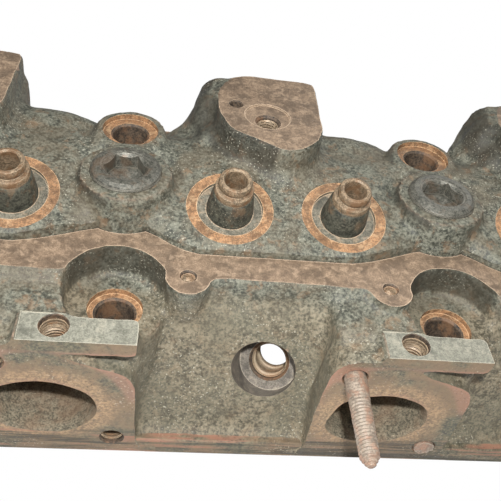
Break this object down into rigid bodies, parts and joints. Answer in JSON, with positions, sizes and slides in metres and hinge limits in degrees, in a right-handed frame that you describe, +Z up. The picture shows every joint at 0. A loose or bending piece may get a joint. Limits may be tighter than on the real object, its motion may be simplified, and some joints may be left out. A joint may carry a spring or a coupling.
{
  "type": "cylinder head",
  "caption": "Bare overhead-valve iron cylinder head with valve guides, valve seats, water-jacket plugs, rocker stands and the remains of its exhaust studs.",
  "frame": {"origin": "on the deck plane, under the middle of the whole part's box", "axes": "+X along the head, +Y to the intake side, +Z up from the deck face; the exhaust side faces -Y"},
  "size_m": [0.396, 0.1686, 0.0953],
  "materials": {
    "cast_iron": "weathered grey iron, rusted on the machined faces",
    "guide_iron": "rusty tan machined iron",
    "seat_steel": "ground ring, sooted",
    "plug_steel": "dark satin, lighter bevels",
    "stud_steel": "pale rusty thread",
    "cup_steel": "dull plated, rust at the rim"
  },
  "bodies": {
    "root": {"head_casting": "cast_iron", "intake_valve_guide_1": "guide_iron", "intake_valve_seat_1": "seat_steel", "exhaust_valve_guide_1": "guide_iron", "exhaust_valve_seat_1": "seat_steel", "intake_valve_guide_2": "guide_iron", "intake_valve_seat_2": "seat_steel", "exhaust_valve_guide_2": "guide_iron", "exhaust_valve_seat_2": "seat_steel", "intake_valve_guide_3": "guide_iron", "intake_valve_seat_3": "seat_steel", "exhaust_valve_guide_3": "guide_iron", "exhaust_valve_seat_3": "seat_steel", "hex_jacket_plug_1": "plug_steel", "hex_jacket_plug_2": "plug_steel", "exhaust_stud": "stud_steel", "broken_exhaust_stud": "stud_steel", "front_cup_plug": "cup_steel", "rear_cup_plug": "cup_steel", "pipe_plug": "plug_steel"}
  },
  "joints": []
}
